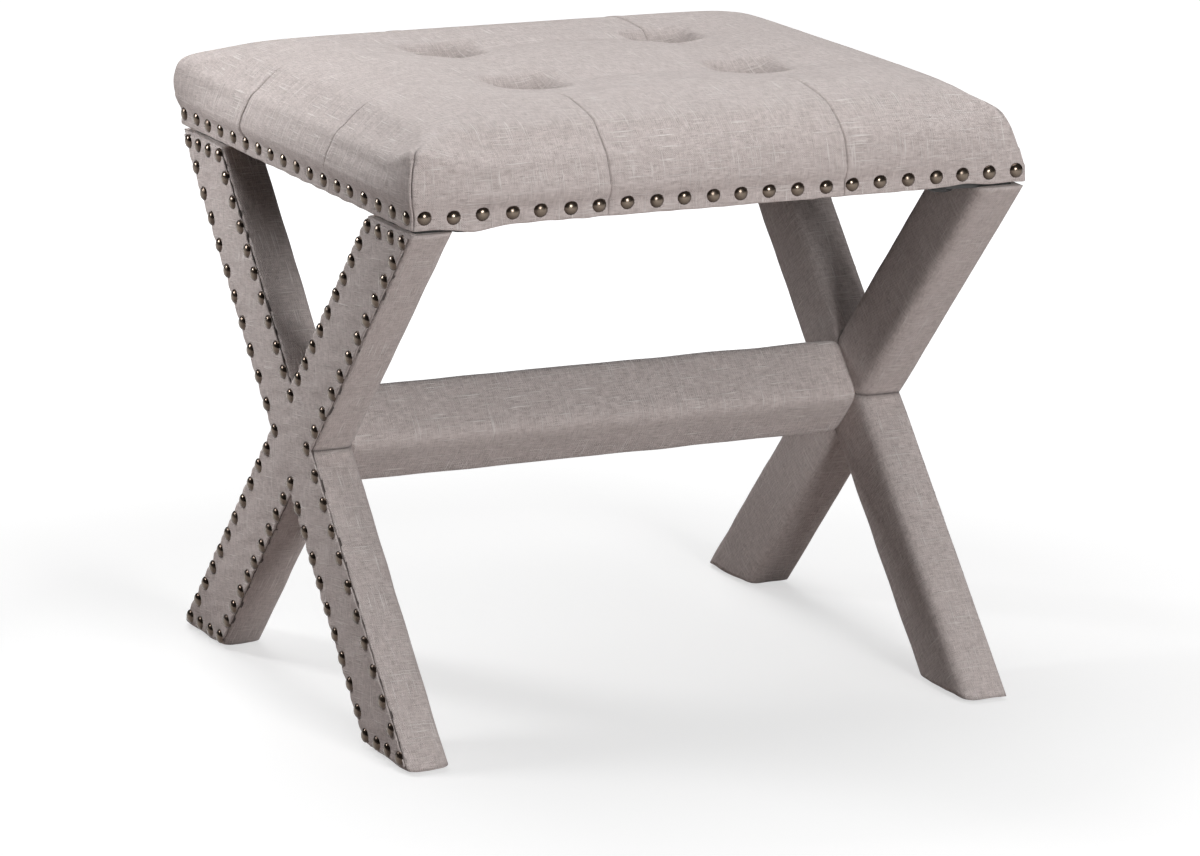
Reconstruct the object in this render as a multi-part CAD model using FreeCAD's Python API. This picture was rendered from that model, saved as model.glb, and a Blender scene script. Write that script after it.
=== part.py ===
import FreeCAD
import Part
import math
import os

from FreeCAD import Vector

# Upholstered bench on two X-shaped end frames joined by a stretcher.
# Millimetres, +X along the length, -Y to the front, +Z up, the floor at Z = 0.

# Overall size, over the nail heads and the crown of the seat
bench_length = 482.6
bench_depth = 431.8
bench_height = 457.2

# Nail heads, and the flats that stand for a round outline on small turned pieces
nail_radius = 5.5
nail_height = 3.2
nail_crown_radius = 3.0
nail_flats = 8
hardware_flats = 8

# Heights, from the floor up
glide_height = 3.0
leg_top = 380.0
plate_thickness = 3.0
dust_cover_thickness = 0.6
cover_lip_thickness = 1.4
board_thickness = 18.0

# Seat cover: linen on wadding, with a flat nailed band, a bulge and a crown
cover_thickness = 5.0
cover_lip_width = 24.0
band_corner_radius = 6.0
least_corner_radius = 1.0
clear_above = 1.0
corner_chords = 4
bulge_steps = 3
shoulder_height = 424.0
crown_reach = 172.0
crown_edge_power = 2.2
crown_steps = 8
corner_growth = 0.3
corner_share = 0.9

# Tufts: four round dimples with rolled lips, each held down by a covered button
tuft_x = 88.0
tuft_y = 70.0
tuft_depth = 23.0
tuft_floor_radius = 11.3
tuft_mouth_radius = 42.0
tuft_lip_swell = 4.0
tuft_steps = 4
tuft_flats = 16
foam_well_radius = 30.0
button_radius = 10.5
button_height = 5.5
button_crown_radius = 6.0
tie_radius = 1.2
tie_washer_radius = 9.0
tie_washer_thickness = 1.5

# Pleats: narrow grooves from the tufts over the edge to the nailed band
pleat_width = 2.4
pleat_depth = 2.2
front_pleat_x = 97.0
left_pleat_back_y = 95.0
left_pleat_front_y = -58.0
right_pleat_y = 76.0

# Nails on the seat
seat_nail_height = 392.5
front_nail_count = 22
front_nail_reach = 229.0
side_nail_count = 18
side_nail_reach = 203.0

# End frames: two half-lapped bars each, wrapped arm by arm
leg_reach_outer = 210.0
leg_reach_inner = 133.5
frame_thickness = 34.5
wrap_thickness = 3.0
panel_thickness = 3.0
panel_edge_radius = 1.5
wrap_edge_radius = 5.0
foot_sole = 1.5

# Nails on the outer face panels
face_nail_inset = 6.5
end_row_spaces = 3
outer_edge_spaces = 11
inner_edge_spaces = 10

# Stretcher: a diamond bar whose faces run with the arms, on two bolts at each end
stretcher_scale = 0.92
stretcher_ridge_radius = 9.0
stretcher_bolt_radius = 3.0
stretcher_bolt_depth = 30.0
stretcher_bolt_offset = 15.0

# Steel plates on the arms' top ends, and the seat bolts
plate_margin = 4.0
plate_tongue = 34.0
plate_tongue_width = 44.0
plate_nose = 10.0
bolt_radius = 4.0
bolt_head_radius = 10.0
bolt_head_height = 5.0
bolt_head_edge = 1.5
bolt_inset = 17.0
bolt_y = 178.0
tnut_barrel_radius = 5.5
tnut_barrel_length = 11.0
tnut_flange_radius = 9.5
tnut_flange_thickness = 1.5
plate_screw_radius = 2.0
plate_screw_head_radius = 4.0
plate_screw_head_height = 2.4
plate_screw_length = 26.0
plate_screw_y = (172.0, 150.0)
fit_gap = 0.1

# Glides under the feet
glide_radius = 10.0
glide_edge = 1.0

# Worked out from the dimensions above
half_length = bench_length / 2
half_depth = bench_depth / 2
plate_top = leg_top + plate_thickness
cover_bottom = plate_top + dust_cover_thickness
board_bottom = cover_bottom + cover_lip_thickness
board_top = board_bottom + board_thickness
crown_rise = bench_height - shoulder_height
face_x = half_length - nail_height
core_outer_x = face_x - panel_thickness
inner_x = face_x - frame_thickness
core_inner_x = inner_x + wrap_thickness
leg_foot = glide_height
leg_middle = (leg_top + leg_foot) / 2
leg_slope = (leg_reach_outer + leg_reach_inner) / (leg_top - leg_foot)
slant = math.hypot(1.0, leg_slope)
fabric_inset = wrap_thickness * slant
crotch_y = (leg_reach_outer - leg_reach_inner) / 2
crotch_rise = crotch_y / leg_slope
tuft_bottom = bench_height - tuft_depth
bolt_x = inner_x - bolt_inset
sides = {"left": -1, "right": 1}
corners = [(sx, sy) for sx in (-1, 1) for sy in (-1, 1)]


# Basic shapes

def prism_x(points, x_from, x_to):
    """A (y, z) outline drawn out along X."""
    corner_points = [Vector(x_from, y, z) for y, z in points]
    wire = Part.makePolygon(corner_points + corner_points[:1])
    return Part.Face(wire).extrude(Vector(x_to - x_from, 0, 0))


def facet(points):
    return Part.Face(Part.makePolygon(points + points[:1]))


def flat_loft(rings):
    """A ruled loft through rings of points, each strip between two rings a flat face."""
    faces = [facet(rings[0][::-1]), facet(rings[-1])]
    for low, high in zip(rings, rings[1:]):
        for i in range(len(low)):
            k = (i + 1) % len(low)
            faces.append(facet([low[i], low[k], high[k], high[i]]))
    shell = Part.Shell(faces)
    shell.sewShape()
    return Part.Solid(shell)


def turning(profile, flats):
    """A turned piece on the Z axis, from (radius, z) pairs listed upwards, cut with flats."""
    angles = [2 * math.pi * i / flats for i in range(flats)]
    return flat_loft([[Vector(radius * math.cos(a), radius * math.sin(a), z) for a in angles]
                      for radius, z in profile])


def placed(piece, x, y, z):
    copy = piece.copy()
    copy.translate(Vector(x, y, z))
    return copy


def upright_rod(radius, bottom, top, x, y):
    return placed(turning([(radius, bottom), (radius, top)], hardware_flats), x, y, 0)


def rod_along_x(radius, x_from, x_to, y, z):
    rod = turning([(radius, min(x_from, x_to)), (radius, max(x_from, x_to))], hardware_flats)
    rod.Placement = FreeCAD.Placement(Vector(0, y, z), FreeCAD.Rotation(Vector(0, 0, 1), Vector(1, 0, 0)))
    return rod


def group(solids):
    return Part.makeCompound(solids)


def spread(count, reach):
    """Evenly spaced places from -reach to +reach."""
    return [-reach + 2 * reach * i / (count - 1) for i in range(count)]


# Seat form: level sections stacked from the bottom edge to the crown

def level_section(half_x, half_y, radius, z):
    """The points of a level rectangle whose corners turn in a few chords."""
    points = []
    for quarter, (sx, sy) in enumerate(((1, 1), (-1, 1), (-1, -1), (1, -1))):
        for i in range(corner_chords + 1):
            angle = math.pi / 2 * (quarter + i / corner_chords)
            points.append(Vector(sx * (half_x - radius) + radius * math.cos(angle),
                                 sy * (half_y - radius) + radius * math.sin(angle), z))
    return points


def seat_levels(inset, bottom):
    """Pairs of (setback from the widest line, height) up the side and over the crown."""
    levels = [(nail_height, bottom), (nail_height, board_top)]
    for i in range(1, bulge_steps + 1):
        t = i / bulge_steps
        levels.append((nail_height * (1 - t) ** 2, board_top + t * (shoulder_height - board_top)))
    for i in range(1, crown_steps + 1):
        t = (i / crown_steps) ** 2
        lift = math.sqrt(1 - (1 - t) ** crown_edge_power)
        levels.append((crown_reach * t, shoulder_height + (crown_rise - inset) * lift))
    return levels


def seat_form(inset, bottom):
    """The whole seat shape, drawn in by an inset on its sides and top."""
    rings = []
    for setback, z in seat_levels(inset, bottom):
        half_x = half_length - setback - inset
        half_y = half_depth - setback - inset
        radius = max(band_corner_radius - inset, least_corner_radius) + corner_growth * setback
        rings.append(level_section(half_x, half_y, min(radius, corner_share * half_y), z))
    return flat_loft(rings)


def tuft_dimple(x, y):
    """A round dimple whose lip swells between its floor and its mouth."""
    profile = []
    for i in range(tuft_steps + 1):
        t = i / tuft_steps
        swell = 4 * t * (1 - t) * tuft_lip_swell
        radius = tuft_floor_radius + t * (tuft_mouth_radius - tuft_floor_radius) - swell
        profile.append((radius, tuft_bottom + t * (tuft_depth + clear_above) + swell))
    return placed(turning(profile, tuft_flats), x, y, 0)


def tuft_places():
    return [(sx * tuft_x, sy * tuft_y) for sx, sy in corners]


def pleat_blade(x_from, y_from, x_to, y_to):
    """A thin upright blade from a tuft out past the edge of the seat."""
    run = Vector(x_to - x_from, y_to - y_from, 0)
    across = Vector(-run.y, run.x, 0).normalize() * (pleat_width / 2)
    start = Vector(x_from, y_from, board_top)
    end = start + run * 1.1
    outline = [start + across, start - across, end - across, end + across]
    wire = Part.makePolygon(outline + outline[:1])
    return Part.Face(wire).extrude(Vector(0, 0, bench_height - board_top + clear_above))


def pleat_blades():
    blades = []
    for sx, sy in corners:
        blades.append(pleat_blade(sx * tuft_x, sy * tuft_y, sx * front_pleat_x, sy * half_depth))
    for sy, foot_y in ((1, left_pleat_back_y), (-1, left_pleat_front_y)):
        blades.append(pleat_blade(-tuft_x, sy * tuft_y, -half_length, foot_y))
        blades.append(pleat_blade(tuft_x, sy * tuft_y, half_length, sy * right_pleat_y))
    return blades


def tie_holes(bottom, top):
    return [upright_rod(tie_radius + fit_gap, bottom, top, x, y) for x, y in tuft_places()]


def padding_core():
    """What the cover goes round: the board and the foam, with a well in the foam at each tuft."""
    core = seat_form(cover_thickness, board_bottom)
    floor_z = tuft_bottom - cover_thickness
    return core.cut([upright_rod(foam_well_radius, floor_z, bench_height, x, y) for x, y in tuft_places()])


def seat_cover(core):
    cover = seat_form(0.0, cover_bottom)
    cover = cover.cut([tuft_dimple(x, y) for x, y in tuft_places()])
    floor_of_pleats = seat_form(pleat_depth, cover_bottom)
    cover = cover.cut([blade.cut(floor_of_pleats) for blade in pleat_blades()])
    mouth_x = face_x - cover_lip_width
    mouth_y = half_depth - nail_height - cover_lip_width
    mouth = Part.makeBox(2 * mouth_x, 2 * mouth_y, cover_lip_thickness,
                         Vector(-mouth_x, -mouth_y, cover_bottom))
    return cover.cut([core, mouth] + tie_holes(shoulder_height, tuft_bottom))


def split_at_board(core):
    """The padding core's lower slice is the board, the rest is foam."""
    lower = Part.makeBox(bench_length, bench_depth, board_thickness,
                         Vector(-half_length, -half_depth, board_bottom))
    return core.common(lower), core.cut(lower)


def seat_board(slab):
    cuts = tie_holes(board_bottom, board_top)
    washer_top = board_bottom + tie_washer_thickness
    flange_z = board_top - tnut_flange_thickness
    for x, y in tuft_places():
        cuts.append(upright_rod(tie_washer_radius + fit_gap, board_bottom, washer_top, x, y))
    for x, y in bolt_places():
        cuts.append(upright_rod(tnut_barrel_radius + fit_gap, board_bottom, board_top, x, y))
        cuts.append(upright_rod(tnut_flange_radius + fit_gap, flange_z, board_top, x, y))
    return slab.cut(cuts)


def seat_foam(block):
    return block.cut(tie_holes(board_top, bench_height))


def dust_cover():
    half_x = face_x - cover_lip_width / 2
    half_y = half_depth - nail_height - cover_lip_width / 2
    sheet = Part.makeBox(2 * half_x, 2 * half_y, dust_cover_thickness, Vector(-half_x, -half_y, plate_top))
    return sheet.cut([upright_rod(bolt_radius + fit_gap, plate_top, cover_bottom, x, y)
                      for x, y in bolt_places()])


def tuft_buttons():
    profile = [(button_radius, 0), (button_radius, button_height / 2), (button_crown_radius, button_height)]
    button = turning(profile, hardware_flats)
    return group([placed(button, x, y, tuft_bottom) for x, y in tuft_places()])


def tuft_ties():
    knot_z = board_bottom + tie_washer_thickness
    return group([upright_rod(tie_radius, knot_z, tuft_bottom, x, y) for x, y in tuft_places()])


def tuft_washers():
    top_z = board_bottom + tie_washer_thickness
    return group([upright_rod(tie_washer_radius, board_bottom, top_z, x, y) for x, y in tuft_places()])


# Nails

def nails_at(places, outward):
    """Nail heads at the given points, standing out along one direction."""
    head = turning([(nail_radius, 0), (nail_crown_radius, nail_height)], nail_flats)
    spin = FreeCAD.Rotation(Vector(0, 0, 1), outward)
    heads = []
    for place in places:
        copy = head.copy()
        copy.Placement = FreeCAD.Placement(place, spin)
        heads.append(copy)
    return group(heads)


def seat_nails_along_x(sy):
    y = sy * (half_depth - nail_height)
    places = [Vector(x, y, seat_nail_height) for x in spread(front_nail_count, front_nail_reach)]
    return nails_at(places, Vector(0, sy, 0))


def seat_nails_along_y(sx):
    x = sx * face_x
    places = [Vector(x, y, seat_nail_height) for y in spread(side_nail_count, side_nail_reach)]
    return nails_at(places, Vector(sx, 0, 0))


# End frames

def bar_outline(sy, inset, foot_z):
    """The slanting bar whose top end is at the front (sy = -1) or the back (sy = 1)."""
    run = (leg_top - foot_z) * leg_slope
    outer_y = leg_reach_outer - inset
    inner_y = leg_reach_inner + inset
    return [(sy * outer_y, leg_top), (sy * inner_y, leg_top),
            (sy * (inner_y - run), foot_z), (sy * (outer_y - run), foot_z)]


def core_bars(side):
    """Two bars that share the frame's thickness at a half lap."""
    inner = side * core_inner_x
    outer = side * core_outer_x
    middle = (inner + outer) / 2
    foot_z = leg_foot + foot_sole
    front = prism_x(bar_outline(-1, fabric_inset, foot_z), inner, outer)
    back = prism_x(bar_outline(1, fabric_inset, foot_z), inner, outer)
    lap_reach = leg_reach_outer
    lap = [(-lap_reach, leg_foot), (lap_reach, leg_foot), (lap_reach, leg_top), (-lap_reach, leg_top)]
    crossing = front.common(back)
    front_notch = crossing.common(prism_x(lap, inner, middle))
    back_notch = crossing.common(prism_x(lap, middle, outer))
    return front.cut(front_notch), back.cut(back_notch)


def arm_outline(sy, up):
    """One arm, from its end to its quarter of the crossing."""
    end_z = leg_middle + up * (leg_top - leg_middle)
    return [(sy * leg_reach_outer, end_z), (sy * leg_reach_inner, end_z),
            (0.0, leg_middle + up * crotch_rise), (0.0, leg_middle), (sy * crotch_y, leg_middle)]


def arm_wrap(side, sy, up, core):
    """Padded fabric round three sides of an arm, soft along the inner face."""
    sleeve = prism_x(arm_outline(sy, up), side * inner_x, side * core_outer_x)
    soft_edges = []
    for edge in sleeve.Edges:
        ends = [v.Point for v in edge.Vertexes]
        on_inner = all(abs(p.x - side * inner_x) < 0.01 for p in ends)
        slanting = abs(ends[0].z - ends[1].z) > 1.0 and abs(ends[0].y - ends[1].y) > 1.0
        if on_inner and slanting:
            soft_edges.append(edge)
    sleeve = sleeve.makeFillet(wrap_edge_radius, soft_edges)
    return sleeve.cut(core)


def face_outline(inset, end_inset):
    """The whole X outline in order, from the front top arm round by the back."""
    outer_y = leg_reach_outer - inset
    inner_y = leg_reach_inner + inset
    end_z = leg_top - leg_middle - end_inset
    shift = end_inset * leg_slope
    side_y = (outer_y - inner_y) / 2
    rise = side_y / leg_slope
    corner_points = [(-outer_y + shift, end_z), (-inner_y + shift, end_z), (0.0, rise),
                     (inner_y - shift, end_z), (outer_y - shift, end_z), (side_y, 0.0),
                     (outer_y - shift, -end_z), (inner_y - shift, -end_z), (0.0, -rise),
                     (-inner_y + shift, -end_z), (-outer_y + shift, -end_z), (-side_y, 0.0)]
    return [(y, leg_middle + z) for y, z in corner_points]


def face_panel(side):
    panel = prism_x(face_outline(0.0, 0.0), side * core_outer_x, side * face_x)
    rim = [edge for edge in panel.Edges
           if all(abs(v.Point.x - side * face_x) < 0.01 for v in edge.Vertexes)]
    return panel.makeChamfer(panel_edge_radius, rim)


def face_nails(side):
    """A border of nails inside the X outline, with one in each crotch."""
    outline = face_outline(face_nail_inset * slant, face_nail_inset)
    spaces = [end_row_spaces, inner_edge_spaces, inner_edge_spaces,
              end_row_spaces, outer_edge_spaces, outer_edge_spaces] * 2
    places = []
    for i, count in enumerate(spaces):
        y0, z0 = outline[i]
        y1, z1 = outline[(i + 1) % len(outline)]
        for k in range(count):
            t = k / count
            places.append(Vector(side * face_x, y0 + t * (y1 - y0), z0 + t * (z1 - z0)))
    return nails_at(places, Vector(side, 0, 0))


def foot_glides():
    profile = [(glide_radius - glide_edge, 0), (glide_radius, glide_edge), (glide_radius, glide_height)]
    one = turning(profile, hardware_flats)
    x = face_x - frame_thickness / 2
    y = (leg_reach_outer + leg_reach_inner) / 2
    return group([placed(one, sx * x, sy * y, 0) for sx, sy in corners])


# Stretcher

def diamond(half_y, half_z, ridge_radius, x_from, x_to):
    """A diamond bar along X with rounded ridges."""
    outline = [(-half_y, leg_middle), (0.0, leg_middle + half_z), (half_y, leg_middle),
               (0.0, leg_middle - half_z)]
    bar = prism_x(outline, x_from, x_to)
    ridges = [edge for edge in bar.Edges if abs(edge.tangentAt(edge.FirstParameter).x) > 0.99]
    return bar.makeFillet(ridge_radius, ridges)


def stretcher_pieces(fixings):
    """The wooden bar and the fabric sleeve round it, between the inner faces."""
    half_y = stretcher_scale * crotch_y
    half_z = half_y / leg_slope
    core_y = half_y - fabric_inset
    core_z = core_y / leg_slope
    sleeve = diamond(half_y, half_z, stretcher_ridge_radius, -inner_x, inner_x)
    bar = diamond(core_y, core_z, stretcher_ridge_radius - wrap_thickness, -inner_x, inner_x)
    return bar.cut(fixings), sleeve.cut(bar)


def stretcher_bolts():
    """Two threaded rods at each end, from the frame's wood into the bar's end grain."""
    rods = []
    for side in sides.values():
        for up in (-1, 1):
            rods.append(rod_along_x(stretcher_bolt_radius, side * (inner_x - stretcher_bolt_depth),
                                    side * core_outer_x, 0.0, leg_middle + up * stretcher_bolt_offset))
    return rods


# Plates, screws and bolts at the tops of the arms

def bolt_places():
    return [(sx * bolt_x, sy * bolt_y) for sx, sy in corners]


def plate_screws_at(sx, sy):
    """Countersunk wood screws, flush with the plate and down into the arm."""
    profile = [(plate_screw_radius / 2, plate_top - plate_screw_length),
               (plate_screw_radius, plate_top - plate_screw_length + plate_screw_head_height),
               (plate_screw_radius, plate_top - plate_screw_head_height),
               (plate_screw_head_radius, plate_top)]
    screw = turning(profile, hardware_flats)
    x = face_x - frame_thickness / 2
    return [placed(screw, sx * x, sy * y, 0) for y in plate_screw_y]


def leg_plate(sx, sy):
    """A flat plate on the arm's end with a narrowed tongue under the seat board."""
    heel_x = core_outer_x - plate_margin
    root_x = inner_x - wrap_thickness
    nose_x = inner_x - plate_tongue
    outer_y = leg_reach_outer - fabric_inset - plate_margin
    inner_y = leg_reach_inner + plate_margin
    nose_y = plate_tongue_width / 2
    outline = [(heel_x, inner_y), (heel_x, outer_y), (root_x, outer_y),
               (nose_x + plate_nose, bolt_y + nose_y), (nose_x, bolt_y + nose_y - plate_nose),
               (nose_x, bolt_y - nose_y + plate_nose), (nose_x + plate_nose, bolt_y - nose_y),
               (root_x, inner_y)]
    plate = facet([Vector(sx * x, sy * y, leg_top) for x, y in outline])
    plate = plate.extrude(Vector(0, 0, plate_thickness))
    bolt_hole = upright_rod(bolt_radius + fit_gap, leg_top, plate_top, sx * bolt_x, sy * bolt_y)
    return plate.cut([bolt_hole] + plate_screws_at(sx, sy))


def seat_bolts():
    head_z = leg_top - bolt_head_height
    tip_z = board_top - tnut_flange_thickness
    profile = [(bolt_head_radius - bolt_head_edge, head_z), (bolt_head_radius, head_z + bolt_head_edge),
               (bolt_head_radius, leg_top), (bolt_radius, leg_top), (bolt_radius, tip_z)]
    bolt = turning(profile, hardware_flats)
    return group([placed(bolt, x, y, 0) for x, y in bolt_places()])


def seat_tnuts():
    flange_z = board_top - tnut_flange_thickness
    bottom = board_top - tnut_barrel_length
    profile = [(tnut_barrel_radius, bottom), (tnut_barrel_radius, flange_z),
               (tnut_flange_radius, flange_z), (tnut_flange_radius, board_top)]
    blank = turning(profile, hardware_flats)
    nut = blank.cut(upright_rod(bolt_radius + fit_gap / 2, bottom, board_top, 0, 0))
    return group([placed(nut, x, y, 0) for x, y in bolt_places()])


# Assembly

def build():
    nodes = {}
    core = padding_core()
    slab, block = split_at_board(core)
    nodes["seat_cover"] = seat_cover(core)
    nodes["seat_board"] = seat_board(slab)
    nodes["seat_foam"] = seat_foam(block)
    nodes["dust_cover"] = dust_cover()
    nodes["tuft_buttons"] = tuft_buttons()
    nodes["tuft_ties"] = tuft_ties()
    nodes["tuft_washers"] = tuft_washers()
    nodes["seat_nails_front"] = seat_nails_along_x(-1)
    nodes["seat_nails_back"] = seat_nails_along_x(1)
    nodes["seat_nails_left"] = seat_nails_along_y(-1)
    nodes["seat_nails_right"] = seat_nails_along_y(1)

    rods = stretcher_bolts()
    screws = [screw for sx, sy in corners for screw in plate_screws_at(sx, sy)]
    for name, side in sides.items():
        front_bar, back_bar = core_bars(side)
        nodes[name + "_bar_front_top"] = front_bar.cut(rods + screws)
        nodes[name + "_bar_back_top"] = back_bar.cut(rods + screws)
        hidden = [front_bar, back_bar] + rods
        for end, up in (("top", 1), ("foot", -1)):
            for place, sy in (("front", -1), ("back", 1)):
                nodes[name + "_wrap_" + place + "_" + end] = arm_wrap(side, sy, up, hidden)
        nodes[name + "_face_panel"] = face_panel(side)
        nodes[name + "_face_nails"] = face_nails(side)

    nodes["foot_glides"] = foot_glides()
    nodes["stretcher_bar"], nodes["stretcher_wrap"] = stretcher_pieces(rods)
    nodes["stretcher_bolts"] = group(rods)
    nodes["leg_plates"] = group([leg_plate(sx, sy) for sx, sy in corners])
    nodes["plate_screws"] = group(screws)
    nodes["seat_bolts"] = seat_bolts()
    nodes["seat_tnuts"] = seat_tnuts()
    return nodes


def main():
    os.makedirs("parts", exist_ok=True)
    for name, shape in build().items():
        shape.exportStep(os.path.join("parts", name + ".step"))
        print(name, len(shape.Solids), "solids", round(shape.Volume / 1000, 1), "cm3", shape.isValid())


main()
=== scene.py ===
import bpy
import bmesh
import math
import random
from mathutils import Matrix, Vector, noise


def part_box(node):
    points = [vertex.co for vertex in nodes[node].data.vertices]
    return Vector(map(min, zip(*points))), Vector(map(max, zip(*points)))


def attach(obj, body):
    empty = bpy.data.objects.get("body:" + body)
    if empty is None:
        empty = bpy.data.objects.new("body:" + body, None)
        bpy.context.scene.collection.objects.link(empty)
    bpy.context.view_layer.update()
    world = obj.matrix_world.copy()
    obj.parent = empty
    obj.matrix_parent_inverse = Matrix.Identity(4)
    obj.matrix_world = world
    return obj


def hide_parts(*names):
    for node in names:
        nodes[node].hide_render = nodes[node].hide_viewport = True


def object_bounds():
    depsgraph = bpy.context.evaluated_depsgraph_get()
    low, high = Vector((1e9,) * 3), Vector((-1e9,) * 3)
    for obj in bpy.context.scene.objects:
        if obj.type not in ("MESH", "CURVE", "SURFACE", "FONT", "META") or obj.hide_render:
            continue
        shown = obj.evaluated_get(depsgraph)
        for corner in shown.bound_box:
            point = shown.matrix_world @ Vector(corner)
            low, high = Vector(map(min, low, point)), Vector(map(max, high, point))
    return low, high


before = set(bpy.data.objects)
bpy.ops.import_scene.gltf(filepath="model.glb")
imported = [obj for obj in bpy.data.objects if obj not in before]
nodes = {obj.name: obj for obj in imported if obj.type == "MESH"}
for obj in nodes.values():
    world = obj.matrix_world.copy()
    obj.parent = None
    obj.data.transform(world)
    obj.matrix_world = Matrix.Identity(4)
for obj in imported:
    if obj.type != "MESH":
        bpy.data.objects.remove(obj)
cadLow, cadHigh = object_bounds()
print("frame loaded with", len(nodes), "nodes")

# places read from the frame, in metres
seatLow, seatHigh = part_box("seat_cover")
panelLow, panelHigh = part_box("right_face_panel")
wrapLow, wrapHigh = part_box("right_wrap_back_top")
seatNailLow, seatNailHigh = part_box("seat_nails_front")
sideNailLow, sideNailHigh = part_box("seat_nails_right")
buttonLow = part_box("tuft_buttons")[0]

legShape = {"innerReach": 0.1335, "nailInset": 0.0065, "endSpaces": 3, "outerSpaces": 11, "innerSpaces": 10}
legTop = wrapHigh.z
legFoot = panelLow.z
legMiddle = (legTop + legFoot) / 2
legOuter = panelHigh.y
legSlope = (legOuter + legShape["innerReach"]) / (legTop - legFoot)
legSlant = math.hypot(1.0, legSlope)
crotchY = (legOuter - legShape["innerReach"]) / 2
crotchRise = crotchY / legSlope
faceX = panelHigh.x
innerX = wrapLow.x
nailRise = cadHigh.x - faceX
nailRadius = (seatNailHigh.z - seatNailLow.z) / 2
onFace = 0.999  # past this, a point of the unit box lies on its face


# small helpers

def linked(name, data):
    obj = bpy.data.objects.new(name, data)
    bpy.context.scene.collection.objects.link(obj)
    return obj


def newPiece(name, bm, material):
    mesh = bpy.data.meshes.new(name)
    bm.normal_update()
    bm.to_mesh(mesh)
    bm.free()
    for face in mesh.polygons:
        face.use_smooth = True
    mesh.materials.append(material)
    piece = linked(name, mesh)
    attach(piece, "root")
    return piece


def addFiner(piece):
    finer = piece.modifiers.new("finer", "SUBSURF")
    finer.levels = finer.render_levels = 1


def clothBox(cuts):
    # a cube from -1 to 1, cut into cells along each axis
    bm = bmesh.new()
    bmesh.ops.create_cube(bm, size=2.0)
    for axis in range(3):
        along = [e for e in bm.edges if abs(e.verts[0].co[axis] - e.verts[1].co[axis]) > 1.5]
        bmesh.ops.subdivide_edges(bm, edges=along, cuts=cuts[axis] - 1, use_grid_fill=True)
    return bm


def addBall(bm, form):
    made = bmesh.ops.create_uvsphere(bm, u_segments=form["around"], v_segments=form["rings"], radius=1.0)
    return made["verts"]


def layWeave(bm, tilt=0.0):
    # UV in metres, laid flat on whichever way a face looks
    layer = bm.loops.layers.uv.verify()
    turn = Matrix.Rotation(tilt, 2)
    for face in bm.faces:
        n = face.normal
        axis = max(range(3), key=lambda k: abs(n[k]))
        for loop in face.loops:
            x, y, z = loop.vert.co
            flat = ((y, z), (x, z), (x, y))[axis]
            loop[layer].uv = turn @ Vector(flat)


def bump(distance, width):
    return math.exp(-(distance / width) ** 2)


def roundCorner(p, q, halfP, halfQ, radius):
    # turns the square corner of a section into an arc
    dp = abs(p) - (halfP - radius)
    dq = abs(q) - (halfQ - radius)
    if dp <= 0 or dq <= 0:
        return p, q
    reach = max(dp, dq) / math.hypot(dp, dq)
    return (math.copysign(halfP - radius + dp * reach, p), math.copysign(halfQ - radius + dq * reach, q))


# shader groups

def feed(tree, node, values):
    # another node's output is linked, a plain value is set on the socket
    for key, value in values.items():
        if isinstance(value, bpy.types.NodeSocket):
            tree.links.new(value, node.inputs[key])
        else:
            node.inputs[key].default_value = value


def addNode(tree, kind, values, **settings):
    node = tree.nodes.new("ShaderNode" + kind)
    for key, value in settings.items():
        setattr(node, key, value)
    feed(tree, node, values)
    return node


def startGroup(name, inputs, outputs):
    tree = bpy.data.node_groups.new(name, "ShaderNodeTree")
    for label, kind, value in inputs:
        socket = tree.interface.new_socket(label, in_out="INPUT", socket_type="NodeSocket" + kind)
        if value is not None:
            socket.default_value = value
    for label, kind in outputs:
        tree.interface.new_socket(label, in_out="OUTPUT", socket_type="NodeSocket" + kind)
    return tree, tree.nodes.new("NodeGroupInput").outputs, tree.nodes.new("NodeGroupOutput")


def mathNode(tree, operation, first, second=0.5, clamp=False):
    node = addNode(tree, "Math", {0: first, 1: second}, operation=operation, use_clamp=clamp)
    return node.outputs[0]


def scaled(tree, value, factor):
    return mathNode(tree, "MULTIPLY", value, factor)


def mixColor(tree, factor, first, second):
    return addNode(tree, "Mix", {0: factor, 6: first, 7: second}, data_type="RGBA").outputs[2]


def stretchedNoise(tree, vector, stretch, detail, distortion=0.0):
    grow = addNode(tree, "VectorMath", {0: vector, 1: stretch}, operation="MULTIPLY")
    values = {"Vector": grow.outputs[0], "Scale": 1.0, "Detail": detail, "Distortion": distortion}
    return addNode(tree, "TexNoise", values).outputs["Fac"]


def ramp(tree, value, low, high):
    return addNode(tree, "MapRange", {"Value": value, "From Min": low, "From Max": high}).outputs["Result"]


weaveForm = {
    "yarnStep": 17.3, "drift": 0.12, "weftStart": 900.0, "upperSpan": 0.3, "cloudStretch": (26.0, 26.0, 1.0),
    "shadeShare": 2.0, "overShare": 0.12, "cloudShare": 0.14,
    "slubAcross": (34.0, 980.0, 1.0), "acrossSpan": (0.69, 0.77),
    "slubAlong": (980.0, 30.0, 1.0), "alongSpan": (0.70, 0.78),
    "overHeight": 0.35, "shadeHeight": 1.4, "slubHeight": 0.7}
wearForm = {"detail": 4.0, "span": (0.38, 0.68)}
grainForm = {"detail": 6.0, "distortion": 0.8, "rings": 9.0}


def yarnShade(tree, number, along):
    across = scaled(tree, number, weaveForm["yarnStep"])
    spot = addNode(tree, "CombineXYZ", {0: across, 1: scaled(tree, along, weaveForm["drift"])})
    return stretchedNoise(tree, spot.outputs[0], (1.0, 1.0, 1.0), 1.0)


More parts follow.
